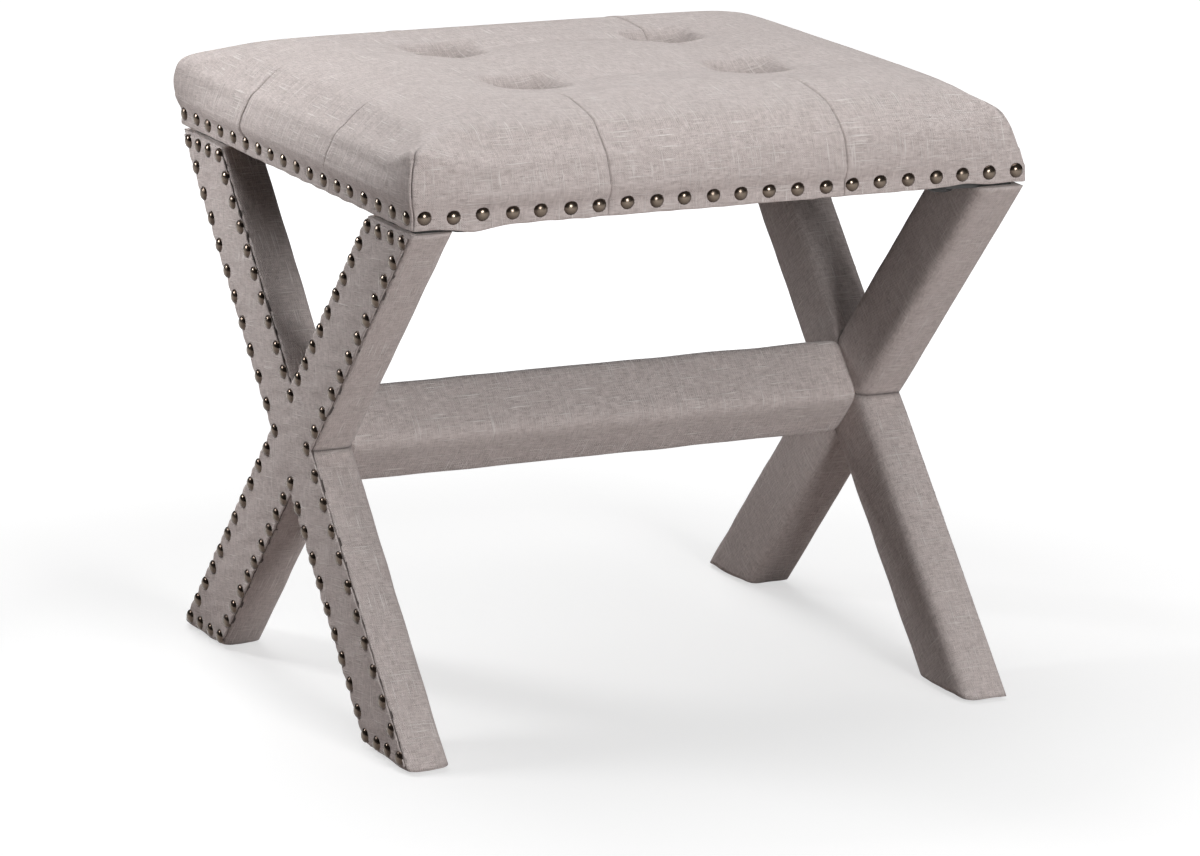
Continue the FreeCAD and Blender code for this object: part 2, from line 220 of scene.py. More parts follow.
def makeWeaveGroup():
    tree, inside, outside = startGroup(
        "plainWeave",
        [("Cloth", "Vector", None), ("Threads", "Float", 900.0),
         ("Warp", "Color", None), ("Weft", "Color", None),
         ("Slub", "Color", None), ("Slub Amount", "Float", 0.5)],
        [("Color", "Color"), ("Height", "Float")])
    cloth = inside["Cloth"]
    count = addNode(tree, "VectorMath", {0: cloth, "Scale": inside["Threads"]}, operation="SCALE").outputs[0]
    crossing = addNode(tree, "VectorMath", {0: count}, operation="FLOOR").outputs[0]
    place = addNode(tree, "SeparateXYZ", {0: count}).outputs
    yarns = addNode(tree, "SeparateXYZ", {0: crossing}).outputs
    across = mathNode(tree, "SINE", scaled(tree, place[0], math.pi))
    along = mathNode(tree, "SINE", scaled(tree, place[1], math.pi))
    over = scaled(tree, across, along)
    # each yarn has a shade of its own that drifts along it, and the upper one shows at a crossing
    warpShade = yarnShade(tree, yarns[0], place[1])
    weftAlong = mathNode(tree, "ADD", place[0], weaveForm["weftStart"])
    weftShade = yarnShade(tree, yarns[1], weftAlong)
    upper = ramp(tree, over, -weaveForm["upperSpan"], weaveForm["upperSpan"])
    shade = scaled(tree, mathNode(tree, "SUBTRACT", warpShade, weftShade), upper)
    shade = mathNode(tree, "SUBTRACT", mathNode(tree, "ADD", shade, weftShade), 0.5)
    cloud = stretchedNoise(tree, cloth, weaveForm["cloudStretch"], 3.0)
    cloud = mathNode(tree, "SUBTRACT", cloud, 0.5)
    choose = mathNode(tree, "ADD", scaled(tree, shade, weaveForm["shadeShare"]), 0.5)
    choose = mathNode(tree, "ADD", choose, scaled(tree, over, weaveForm["overShare"]))
    choose = mathNode(tree, "ADD", choose, scaled(tree, cloud, weaveForm["cloudShare"]), True)
    color = mixColor(tree, choose, inside["Warp"], inside["Weft"])
    # slubs: short thick places in single threads
    slubAcross = stretchedNoise(tree, cloth, weaveForm["slubAcross"], 0.0)
    slubAlong = stretchedNoise(tree, cloth, weaveForm["slubAlong"], 0.0)
    slub = mathNode(tree, "MAXIMUM", ramp(tree, slubAcross, *weaveForm["acrossSpan"]),
                    ramp(tree, slubAlong, *weaveForm["alongSpan"]))
    slubShown = scaled(tree, slub, inside["Slub Amount"])
    color = mixColor(tree, slubShown, color, inside["Slub"])
    height = mathNode(tree, "ADD", scaled(tree, over, weaveForm["overHeight"]),
                      scaled(tree, shade, weaveForm["shadeHeight"]))
    height = mathNode(tree, "ADD", height, scaled(tree, slub, weaveForm["slubHeight"]))
    feed(tree, outside, {"Color": color, "Height": height})
    return tree


def makeWearGroup():
    tree, inside, outside = startGroup(
        "handling",
        [("Place", "Vector", None), ("Size", "Float", 200.0),
         ("Clean", "Color", None), ("Worn", "Color", None),
         ("Smooth", "Float", 0.3), ("Rough", "Float", 0.6)],
        [("Color", "Color"), ("Roughness", "Float"), ("Height", "Float")])
    values = {"Vector": inside["Place"], "Scale": inside["Size"], "Detail": wearForm["detail"]}
    blotch = addNode(tree, "TexNoise", values).outputs["Fac"]
    mask = ramp(tree, blotch, *wearForm["span"])
    span = mathNode(tree, "SUBTRACT", inside["Rough"], inside["Smooth"])
    rough = mathNode(tree, "ADD", inside["Smooth"], scaled(tree, span, mask))
    color = mixColor(tree, mask, inside["Clean"], inside["Worn"])
    feed(tree, outside, {"Color": color, "Roughness": rough, "Height": blotch})
    return tree


def makeGrainGroup():
    tree, inside, outside = startGroup(
        "woodGrain",
        [("Place", "Vector", None), ("Stretch", "Vector", None),
         ("Early", "Color", None), ("Late", "Color", None)],
        [("Color", "Color"), ("Height", "Float")])
    grain = stretchedNoise(tree, inside["Place"], inside["Stretch"], grainForm["detail"],
                           grainForm["distortion"])
    rings = mathNode(tree, "PINGPONG", scaled(tree, grain, grainForm["rings"]), 1.0)
    color = mixColor(tree, rings, inside["Early"], inside["Late"])
    feed(tree, outside, {"Color": color, "Height": rings})
    return tree


weaveGroup = makeWeaveGroup()
wearGroup = makeWearGroup()
grainGroup = makeGrainGroup()
print("shader groups made")


# materials

clothFinish = {"Roughness": 0.92, "Specular IOR Level": 0.2, "Sheen Roughness": 0.45}
# colour of the painted shade in seams, pleats, darts and tuft pockets
paintedShadeColor = (0.07, 0.057, 0.052, 1)
woodFinish = {"bump": 0.0002, "roughness": 0.7}
nailFinish = {"rubSpan": (0.55, 1.0), "rubColor": (0.175, 0.138, 0.108, 1), "bump": 0.00006, "metallic": 0.85}


def startMaterial(name, group, place, values):
    # place is UV for cloth that follows its piece, Object elsewhere
    material = bpy.data.materials.new(name)
    material.use_nodes = True
    tree = material.node_tree
    shader = tree.nodes["Principled BSDF"]
    coords = addNode(tree, "TexCoord", {})
    effect = addNode(tree, "Group", {}, node_tree=group)
    feed(tree, effect, {0: coords.outputs[place], **values})
    feed(tree, shader, {"Base Color": effect.outputs["Color"]})
    return material, tree, shader, effect.outputs


def addBump(tree, shader, height, distance):
    node = addNode(tree, "Bump", {"Height": height, "Distance": distance, "Strength": 1.0})
    feed(tree, shader, {"Normal": node.outputs["Normal"]})


def clothMaterial(name, place, values, distance, sheen):
    material, tree, shader, effect = startMaterial(name, weaveGroup, place, values)
    addBump(tree, shader, effect["Height"], distance)
    feed(tree, shader, {**clothFinish, "Sheen Weight": sheen})
    return material


def metalMaterial(name, values, metallic, distance):
    material, tree, shader, effect = startMaterial(name, wearGroup, "Object", values)
    addBump(tree, shader, effect["Height"], distance)
    feed(tree, shader, {"Roughness": effect["Roughness"], "Metallic": metallic})
    return material


def woodMaterial(name, values):
    material, tree, shader, effect = startMaterial(name, grainGroup, "Object", values)
    addBump(tree, shader, effect["Height"], woodFinish["bump"])
    feed(tree, shader, {"Roughness": woodFinish["roughness"]})
    return material


def paintSeamShade(material):
    # painted shade: cloth is darker down in a seam, a pleat, a dart or a tuft, by the seam attribute
    tree = material.node_tree
    shader = tree.nodes["Principled BSDF"]
    seam = addNode(tree, "Attribute", {}, attribute_name="seam").outputs["Fac"]
    color = shader.inputs["Base Color"].links[0].from_socket
    feed(tree, shader, {"Base Color": mixColor(tree, seam, color, paintedShadeColor)})


linen = clothMaterial("linen", "UV", {
    "Threads": 1250.0, "Warp": (0.43, 0.37, 0.353, 1), "Weft": (0.80, 0.715, 0.69, 1),
    "Slub": (0.90, 0.845, 0.815, 1), "Slub Amount": 0.7}, 0.00035, 0.2)
paintSeamShade(linen)
dustCloth = clothMaterial("dustCloth", "Object", {
    "Threads": 700.0, "Warp": (0.012, 0.012, 0.013, 1), "Weft": (0.035, 0.035, 0.037, 1),
    "Slub": (0.05, 0.05, 0.05, 1), "Slub Amount": 0.6}, 0.0002, 0.1)
twine = clothMaterial("twine", "Object", {
    "Threads": 1500.0, "Warp": (0.52, 0.44, 0.31, 1), "Weft": (0.78, 0.70, 0.54, 1),
    "Slub": (0.85, 0.79, 0.64, 1), "Slub Amount": 0.4}, 0.0002, 0.1)
blackSteel = metalMaterial("blackSteel", {
    "Size": 160.0, "Clean": (0.018, 0.018, 0.019, 1), "Worn": (0.04, 0.039, 0.038, 1),
    "Smooth": 0.35, "Rough": 0.6}, 0.0, 0.00004)
zincSteel = metalMaterial("zincSteel", {
    "Size": 240.0, "Clean": (0.66, 0.66, 0.64, 1), "Worn": (0.5, 0.5, 0.48, 1),
    "Smooth": 0.25, "Rough": 0.5}, 1.0, 0.00003)
glidePlastic = metalMaterial("glidePlastic", {
    "Size": 300.0, "Clean": (0.02, 0.02, 0.02, 1), "Worn": (0.045, 0.043, 0.041, 1),
    "Smooth": 0.5, "Rough": 0.75}, 0.0, 0.00005)
plywood = woodMaterial("plywood", {
    "Stretch": (4.0, 60.0, 400.0), "Early": (0.70, 0.54, 0.36, 1), "Late": (0.50, 0.36, 0.22, 1)})
frameWood = woodMaterial("frameWood", {
    "Stretch": (70.0, 22.0, 9.0), "Early": (0.68, 0.52, 0.34, 1), "Late": (0.50, 0.34, 0.19, 1)})


def makeNailMaterial():
    # antique bronze, rubbed lighter towards the crown by the rub attribute
    material, tree, shader, effect = startMaterial("nailBronze", wearGroup, "Object", {
        "Size": 120.0, "Clean": (0.102, 0.074, 0.057, 1), "Worn": (0.052, 0.037, 0.029, 1),
        "Smooth": 0.18, "Rough": 0.34})
    rub = addNode(tree, "Attribute", {}, attribute_name="rub").outputs["Fac"]
    mask = ramp(tree, rub, *nailFinish["rubSpan"])
    color = mixColor(tree, mask, effect["Color"], nailFinish["rubColor"])
    addBump(tree, shader, effect["Height"], nailFinish["bump"])
    feed(tree, shader, {"Base Color": color, "Roughness": effect["Roughness"],
                        "Metallic": nailFinish["metallic"]})
    return material


nailBronze = makeNailMaterial()

nodeFinish = {
    "seat_board": plywood, "dust_cover": dustCloth, "tuft_ties": twine, "tuft_washers": zincSteel,
    "stretcher_bar": frameWood, "stretcher_bolts": zincSteel, "plate_screws": zincSteel,
    "seat_tnuts": zincSteel, "leg_plates": blackSteel, "seat_bolts": blackSteel, "foot_glides": glidePlastic,
    "left_bar_front_top": frameWood, "left_bar_back_top": frameWood,
    "right_bar_front_top": frameWood, "right_bar_back_top": frameWood}
for nodeName, finish in nodeFinish.items():
    nodes[nodeName].data.materials.clear()
    nodes[nodeName].data.materials.append(finish)
print("materials made")


# nail places

nailLayout = {"frontCount": 22, "sideCount": 18, "stray": 0.0009, "upStray": 0.6, "seed": 7}
draw = random.Random(nailLayout["seed"])


def stray():
    return draw.uniform(-nailLayout["stray"], nailLayout["stray"])


def nailRow(count, low, high):
    # even spaces with a hand's small errors
    first = low + nailRadius
    step = (high - low - 2 * nailRadius) / (count - 1)
    return [first + i * step + (stray() if 0 < i < count - 1 else 0.0) for i in range(count)]


def faceOutline(inset, endInset):
    outer = legOuter - inset
    inner = legShape["innerReach"] + inset
    end = legTop - legMiddle - endInset
    shift = endInset * legSlope
    sideY = (outer - inner) / 2
    rise = sideY / legSlope
    half = [(-outer + shift, end), (-inner + shift, end), (0.0, rise),
            (inner - shift, end), (outer - shift, end), (sideY, 0.0)]
    return [(y, legMiddle + z) for y, z in half + [(-y, -z) for y, z in half]]


def faceNailPlaces():
    outline = faceOutline(legShape["nailInset"] * legSlant, legShape["nailInset"])
    spaces = [legShape["endSpaces"], legShape["innerSpaces"], legShape["innerSpaces"],
              legShape["endSpaces"], legShape["outerSpaces"], legShape["outerSpaces"]] * 2
    places = []
    for i, count in enumerate(spaces):
        start = Vector(outline[i])
        run = Vector(outline[(i + 1) % len(outline)]) - start
        for k in range(count):
            slip = run.normalized() * stray() if k else Vector((0.0, 0.0))
            places.append(start + run * (k / count) + slip)
    return places


seatNailZ = (seatNailLow.z + seatNailHigh.z) / 2
seatNails = {}
for label, sign in (("front", -1), ("back", 1)):
    flatY = sign * (cadHigh.y - nailRise)
    seatNails[label] = [Vector((x, flatY, seatNailZ + stray() * nailLayout["upStray"]))
                        for x in nailRow(nailLayout["frontCount"], seatNailLow.x, seatNailHigh.x)]
for label, sign in (("left", -1), ("right", 1)):
    seatNails[label] = [Vector((sign * faceX, y, seatNailZ + stray() * nailLayout["upStray"]))
                        for y in nailRow(nailLayout["sideCount"], sideNailLow.y, sideNailHigh.y)]
faceNails = {"left": faceNailPlaces(), "right": faceNailPlaces()}
nailCount = sum(len(row) for row in [*seatNails.values(), *faceNails.values()])
print("nail places set,", nailCount, "nails")


# seat cover

seatForm = {
    "cells": (96, 86, 14), "edgeCrowd": 1.35, "bandTop": 0.395, "shoulder": 0.424, "bandSetback": 0.0032,
    "crownReach": 0.172, "crownPower": 2.2, "cornerRadius": 0.0045, "cornerBlend": 5.0, "cornerReach": 0.030,
    "leanReach": 0.05, "leanPower": 0.8, "leanShare": 0.7, "leanEase": 40.0, "holdReach": 0.055,
    "holdShare": 0.9, "lipRows": 3, "bulge": 0.0022, "bulgeZ": 0.412, "bulgeHeight": 0.015,
    "bulgeReach": 0.012, "bulgeStart": 12.0}
# no two corners are sewn alike
cornerLift = {(-1, -1): 0.011, (1, -1): 0.006, (-1, 1): 0.0035, (1, 1): 0.004}
cornerLean = {(-1, -1): 0.004, (1, -1): 0.030, (-1, 1): 0.0, (1, 1): 0.008}
# the shade keys give the painted shade in each pocket and over the dish round it
tufts = {
    "x": 0.088, "y": 0.070, "dish": 0.0060, "dishWidth": 0.033, "valley": 0.0020, "valleyWidth": 0.014,
    "valleyFade": 0.02, "finer": 2, "reach": 0.045, "depth": 0.0180, "width": 0.0208, "squareness": 6,
    "wideRight": 0.04, "wideBack": 0.20, "sharp": 6.5, "softRight": 1.2, "softBack": 3.6, "rim": 0.0013,
    "rimAt": 1.3, "rimWidth": 0.3, "drape": 0.5, "shade": 0.24, "shadePower": 0.7, "dishShade": 0.07,
    "dishShadeWidth": 0.040, "facing": 0.1}
pleats = {
    "frontFoot": 0.0915, "backFoot": 0.091, "leftFeet": (-0.071, 0.084), "rightFoot": 0.076,
    "frontFade": (0.26, 0.56), "backFades": ((0.45, 0.75), (0.08, 0.26)),
    "leftFades": ((0.75, 0.87), (0.79, 0.90)), "rightFade": (0.75, 0.87),
    "offsets": (-0.0026, -0.0012, -0.0006, 0.0, 0.0006, 0.0012, 0.0026), "cutSpan": (0.05, 1.1),
    "reach": 0.013, "end": 1.06, "side": 0.03, "depth": 0.0026, "width": 0.00025, "lip": 0.0006,
    "lipAt": 0.0035, "lipWidth": 0.0028, "valley": 0.0002, "valleyWidth": 0.011, "shade": 0.8}
seatHalfX = seatHigh.x
seatHalfY = seatHigh.y
cutFloor = seatLow.z + 0.001  # faces below are the lip under the board
foldFloor = seatLow.z + 0.0008  # as for cutFloor, for points
sliceGap = 0.00005


def tuftPlaces():
    return [(sx * tufts["x"], sy * tufts["y"]) for sx in (-1, 1) for sy in (-1, 1)]


def tuftGaps(x, y):
    return [(x - tx, y - ty) for tx, ty in tuftPlaces()]


def pleatRuns():
    # from a tuft, to a foot on the seat's edge, which side folds over, and where the fold starts
    runs = []
    for sx, backFade in zip((-1, 1), pleats["backFades"]):
        x = sx * tufts["x"]
        runs.append(((x, -tufts["y"]), (sx * pleats["frontFoot"], -seatHalfY), 1, pleats["frontFade"]))
        runs.append(((x, tufts["y"]), (sx * pleats["backFoot"], seatHalfY), -1, backFade))
    for sy, foot, leftFade in zip((-1, 1), pleats["leftFeet"], pleats["leftFades"]):
        y = sy * tufts["y"]
        runs.append(((-tufts["x"], y), (-seatHalfX, foot), -sy, leftFade))
        runs.append(((tufts["x"], y), (seatHalfX, sy * pleats["rightFoot"]), sy, pleats["rightFade"]))
    return runs


def shoulderHeight(dx, dy, corner):
    # the shoulder stands higher at a sewn corner
    return seatForm["shoulder"] + cornerLift[corner] * bump(math.hypot(dx, dy), seatForm["cornerReach"])


def crownHeight(dx, dy, corner):
    # height of the padded top, from the distances to the two nearest edges
    blend = seatForm["cornerBlend"]
    base = shoulderHeight(dx, dy, corner)
    if min(dx, dy) <= 0:
        return base
    near = (dx ** -blend + dy ** -blend) ** (-1 / blend)
    t = min(near / seatForm["crownReach"], 1.0)
    return base + (seatHigh.z - base) * math.sqrt(1 - (1 - t) ** seatForm["crownPower"])


def dishDrop(x, y):
    # wide dishes round the tufts, with soft valleys between neighbours
    drop = 0.0
    for dx, dy in tuftGaps(x, y):
        drop += tufts["dish"] * bump(math.hypot(dx, dy), tufts["dishWidth"])
    spanX = max(abs(x) - tufts["x"], 0.0)
    spanY = max(abs(y) - tufts["y"], 0.0)
    for off, span in ((abs(y) - tufts["y"], spanX), (abs(x) - tufts["x"], spanY)):
        drop += tufts["valley"] * bump(off, tufts["valleyWidth"]) * bump(span, tufts["valleyFade"])
    return drop


def pocketDrop(dx, dy):
    # a square pocket with a rolled rim, tight in front and to the left, loose behind and to the right
    reach = math.hypot(dx, dy)
    if reach < 1e-6:
        return tufts["depth"]
    right, back = dx / reach, max(dy / reach, 0.0)
    width = tufts["width"] * (1 + tufts["wideRight"] * right + tufts["wideBack"] * back)
    power = tufts["squareness"]
    square = (dx ** power + dy ** power) ** (1 / power) / width
    sharp = tufts["sharp"] - tufts["softRight"] * right - tufts["softBack"] * back
    rim = tufts["rim"] * bump(square - tufts["rimAt"], tufts["rimWidth"])
    return tufts["depth"] * math.exp(-square ** sharp) - rim


def cornerHold(dx, dy):
    # the padding is stiff at the corners, so the cover hardly moves there
    return seatForm["holdShare"] * bump(math.hypot(dx, dy), seatForm["holdReach"])


def shapeSeat(bm, inset):
    crowd = seatForm["edgeCrowd"]
    for vert in bm.verts:
        cx, cy, cz = vert.co
        dx = seatHalfX * (1 - abs(cx)) ** crowd
        dy = seatHalfY * (1 - abs(cy)) ** crowd
        x = math.copysign(seatHalfX - dx, cx)
        y = math.copysign(seatHalfY - dy, cy)
        corner = math.copysign(1, cx), math.copysign(1, cy)
        if cz > onFace:
            z = crownHeight(dx, dy, corner) - dishDrop(x, y)
            setback = 0.0
        else:
            z = seatLow.z + (shoulderHeight(dx, dy, corner) - seatLow.z) * (cz + 1) / 2
            t = max(0.0, (z - seatForm["bandTop"]) / (seatForm["shoulder"] - seatForm["bandTop"]))
            setback = seatForm["bandSetback"] * (1 - t) ** 2
        x, y = roundCorner(x, y, seatHalfX, seatHalfY, seatForm["cornerRadius"])
        shrinkX = (seatHalfX - setback) / seatHalfX
        shrinkY = (seatHalfY - setback) / seatHalfY
        rise = max(0.0, z - seatForm["bandTop"]) / (seatHigh.z - seatForm["bandTop"])
        nearCorner = bump(math.hypot(dx, dy), seatForm["leanReach"])
        out = seatForm["bulge"] * bump(z - seatForm["bulgeZ"], seatForm["bulgeHeight"])
        out *= min(rise * seatForm["bulgeStart"], 1.0)
        out *= 1 - min(cornerLean[corner] * seatForm["leanEase"], 1.0) * nearCorner
        lean = cornerLean[corner] * rise ** seatForm["leanPower"] * nearCorner * seatForm["leanShare"]
        sunk = inset * rise * (1 - cornerHold(dx, dy))
        outX = out * math.exp(-dx / seatForm["bulgeReach"]) - sunk - lean
        outY = out * math.exp(-dy / seatForm["bulgeReach"]) - sunk - lean
        x *= shrinkX * (1 + outX / seatHalfX)
        y *= shrinkY * (1 + outY / seatHalfY)
        vert.co = Vector((x, y, z - sunk))


def pleatShare(run, x, y):
    # how far along a pleat a point is, and how far off its line
    (x0, y0), (x1, y1) = run[:2]
    dx, dy = x1 - x0, y1 - y0
    length = math.hypot(dx, dy)
    along = ((x - x0) * dx + (y - y0) * dy) / (length * length)
    off = ((x - x0) * -dy + (y - y0) * dx) / length
    return along, off


simulation = {
    "frames": 16, "quality": 6, "mass": 0.3, "pressure": 1.8, "tension": 30.0, "bending": 1.5, "cap": 0.005,
    "inset": 0.0020, "bandSlack": 0.001, "tuftHold": 0.016, "pleatHold": 0.08, "pleatWidth": 0.006,
    "pleatSpan": (-0.05, 1.1), "leastHold": 0.02}


def holdWeight(spot, runs):
    # 1 is held fast: the nailed band and the tufts, and lightly along the pleats
    weight = 1.0 if spot.z < seatForm["bandTop"] + simulation["bandSlack"] else 0.0
    for dx, dy in tuftGaps(spot.x, spot.y):
        weight = max(weight, bump(math.hypot(dx, dy), simulation["tuftHold"]))
    first, last = simulation["pleatSpan"]
    for run in runs:
        along, off = pleatShare(run, spot.x, spot.y)
        if first < along < last:
            weight = max(weight, simulation["pleatHold"] * bump(off, simulation["pleatWidth"]))
    return min(weight, 1.0)


def puffCover(mesh):
    # cloth under air pressure
    piece = linked("coverCloth", mesh)
    start = [v.co.copy() for v in mesh.vertices]
    group = piece.vertex_groups.new(name="held")
    runs = pleatRuns()
    for v in mesh.vertices:
        weight = holdWeight(v.co, runs)
        if weight > simulation["leastHold"]:
            group.add([v.index], weight, "REPLACE")
    cloth = piece.modifiers.new("cloth", "CLOTH")
    cloth.settings.quality = simulation["quality"]
    cloth.settings.mass = simulation["mass"]
    cloth.settings.tension_stiffness = simulation["tension"]
    cloth.settings.compression_stiffness = simulation["tension"]
    cloth.settings.bending_stiffness = simulation["bending"]
    cloth.settings.use_pressure = True
    cloth.settings.uniform_pressure_force = simulation["pressure"]
    cloth.settings.vertex_group_mass = "held"
    cloth.settings.effector_weights.gravity = 0.0
    cloth.collision_settings.use_collision = False
    scene = bpy.context.scene
    for number in range(1, simulation["frames"] + 1):
        scene.frame_set(number)
    settled = piece.evaluated_get(bpy.context.evaluated_depsgraph_get())
    moved = [v.co.copy() for v in settled.to_mesh().vertices]
    settled.to_mesh_clear()
    bpy.data.objects.remove(piece)
    scene.frame_set(1)
    biggest = 0.0
    for v, before, after in zip(mesh.vertices, start, moved):
        step = after - before
        biggest = max(biggest, step.length)
        if step.length > simulation["cap"]:
            step = step.normalized() * simulation["cap"]
        v.co = before + step * (1 - cornerHold(seatHalfX - abs(before.x), seatHalfY - abs(before.y)))
    print("cover settled, largest move", round(biggest * 1000, 1), "mm")


def smoothFiner(mesh):
    # one subdivision, kept in the mesh
    piece = linked("coverFine", mesh)
    addFiner(piece)
    settled = piece.evaluated_get(bpy.context.evaluated_depsgraph_get())
    result = bpy.data.meshes.new_from_object(settled)
    bpy.data.objects.remove(piece)
    return result


def byTuft(co):
    nearest = min(math.hypot(dx, dy) for dx, dy in tuftGaps(co.x, co.y))
    return co.z > seatForm["shoulder"] and nearest < tufts["reach"]


def sinkTufts(bm, paintedShadeLayer):
    # finer cells round each tuft, then its pocket, with painted shade inside it and over the dish round it
    for turn in range(tufts["finer"]):
        edges = [e for e in bm.edges if byTuft(e.verts[0].co) and byTuft(e.verts[1].co)]
        bmesh.ops.subdivide_edges(bm, edges=edges, cuts=1, use_grid_fill=True)
    for vert in bm.verts:
        if vert.co.z > seatForm["shoulder"]:
            gaps = tuftGaps(vert.co.x, vert.co.y)
            drop = sum(pocketDrop(dx, dy) for dx, dy in gaps)
            dishShade = sum(bump(math.hypot(dx, dy), tufts["dishShadeWidth"]) for dx, dy in gaps) * tufts["dishShade"]
            share = max(drop / tufts["depth"], 0.0)
            vert[paintedShadeLayer] = dishShade + tufts["shade"] * share ** tufts["shadePower"]
            vert.co.z -= drop


def layTuftWeave(bm):
    # the weave goes down the walls of a pocket without stretching
    layer = bm.loops.layers.uv.verify()
    for face in bm.faces:
        if face.normal.z < tufts["facing"] or not byTuft(face.calc_center_median()):
            continue
        for loop in face.loops:
            spot = loop.vert.co.xy
            away = min((spot - Vector(t) for t in tuftPlaces()), key=lambda gap: gap.length)
            slide = away.normalized() * pocketDrop(away.x, away.y) * tufts["drape"]
            loop[layer].uv = spot - slide


def cutLines(bm, point, normal, offsets, chosen):
    # edges along both sides of a seam, through the faces whose middles are chosen
    for offset in offsets:
        faces = [f for f in bm.faces if chosen(f.calc_center_median())]
        edges = dict.fromkeys(e for f in faces for e in f.edges)
        verts = dict.fromkeys(v for f in faces for v in f.verts)
        bmesh.ops.bisect_plane(bm, geom=[*faces, *edges, *verts], dist=sliceGap,
                               plane_co=point + normal * offset, plane_no=normal)


def cutPleat(bm, run):
    (x0, y0), (x1, y1) = run[:2]
    first, last = pleats["cutSpan"]

    def chosen(c):
        along, off = pleatShare(run, c.x, c.y)
        return first < along < last and abs(off) < pleats["reach"] and c.z > cutFloor

    normal = Vector((y0 - y1, x1 - x0, 0.0)).normalized()
    cutLines(bm, Vector((x0, y0, 0.0)), normal, pleats["offsets"], chosen)


def foldPleat(bm, run, paintedShadeLayer):
    # a tuck: one side rolls over a narrow groove, with painted shade down the groove
    lean, (fadeFrom, fadeTo) = run[2:]
    bm.normal_update()
    moves = {}
    for vert in bm.verts:
        along, off = pleatShare(run, vert.co.x, vert.co.y)
        if not 0.0 < along < pleats["end"] or abs(off) > pleats["side"] or vert.co.z < foldFloor:
            continue
        fade = min(max((along - fadeFrom) / (fadeTo - fadeFrom), 0.0), 1.0)
        groove = -pleats["depth"] * math.exp(-abs(off) / pleats["width"])
        lip = pleats["lip"] * bump(off * lean - pleats["lipAt"], pleats["lipWidth"])
        valley = -pleats["valley"] * bump(off, pleats["valleyWidth"])
        moves[vert] = (groove + lip + valley) * fade
        vert[paintedShadeLayer] = max(vert[paintedShadeLayer], pleats["shade"] * fade * bump(off, pleats["width"]))
    for vert, move in moves.items():
        vert.co += vert.normal * move


cornerDart = {
    "inset": 0.004, "above": 0.0035, "cutReach": 0.016, "cutAbove": 0.008, "reach": 0.03, "fade": 0.004,
    "depth": 0.0034, "width": 0.0004, "pit": 0.0036, "pitWidth": 0.0022, "pitBelow": 0.003,
    "pitHeight": 0.0045, "shade": 0.85, "darkWidth": 0.0012, "darkHeight": 0.0035,
    "offsets": (-0.0030, -0.0014, -0.0006, 0.0, 0.0006, 0.0014, 0.0030)}


def sewDart(bm, sx, sy, paintedShadeLayer):
    # a seam up a corner, ending in a small pucker, with painted shade down the seam and in the pucker
    inset = cornerDart["inset"]
    corner = Vector((sx * (seatHalfX - inset), sy * (seatHalfY - inset), 0.0))
    normal = Vector((sx, -sy, 0.0)).normalized()
    top = seatForm["shoulder"] + cornerLift[(sx, sy)] + cornerDart["above"]

    def chosen(c):
        level = cutFloor < c.z < top + cornerDart["cutAbove"]
        return level and (c.xy - corner.xy).length < cornerDart["cutReach"]

    cutLines(bm, corner, normal, cornerDart["offsets"], chosen)
    bm.normal_update()
    for vert in bm.verts:
        if (vert.co.xy - corner.xy).length > cornerDart["reach"] or vert.co.z < foldFloor:
            continue
        off = (vert.co - corner).dot(normal)
        above = vert.co.z - top + cornerDart["pitBelow"]
        fade = min(max((top - vert.co.z) / cornerDart["fade"], 0.0), 1.0)
        seam = cornerDart["depth"] * math.exp(-abs(off) / cornerDart["width"]) * fade
        pit = cornerDart["pit"] * bump(off, cornerDart["pitWidth"]) * bump(above, cornerDart["pitHeight"])
        vert.co -= vert.normal * (seam + pit)
        above = vert.co.z - top + cornerDart["pitBelow"]
        dark = max(fade * bump(off, cornerDart["width"]),
                   bump(off, cornerDart["darkWidth"]) * bump(above, cornerDart["darkHeight"]))
        vert[paintedShadeLayer] = max(vert[paintedShadeLayer], cornerDart["shade"] * dark)


bandForm = {"reach": 0.012, "pull": 0.0012, "pullWidth": 0.0075, "wave": 0.0006, "waveSize": 70.0,
            "edgeHeight": 0.006, "lift": 0.0007, "sags": ((-0.191, 0.0034), (0.186, -0.0014)),
            "sagWidth": 0.016}


def pullAtNails(bm):
    # the cloth is drawn in at each nail, and its lower edge ripples between them
    bm.normal_update()
    places = [p for row in seatNails.values() for p in row]
    for vert in bm.verts:
        x, y, z = vert.co
        if z > seatForm["bandTop"] + bandForm["reach"]:
            continue
        nearest = min((vert.co - p).length for p in places)
        size = bandForm["waveSize"]
        ripple = noise.noise(Vector((x * size, y * size, 3.0))) * bandForm["wave"]
        low = bump(z - seatLow.z, bandForm["edgeHeight"])
        sag = 0.0
        if y < 0:
            sag = sum(drop * bump(x - sagX, bandForm["sagWidth"]) for sagX, drop in bandForm["sags"])
        vert.co += vert.normal * (bandForm["pull"] * (0.5 - bump(nearest, bandForm["pullWidth"])))
        vert.co.z += low * (ripple + bandForm["lift"] - sag)


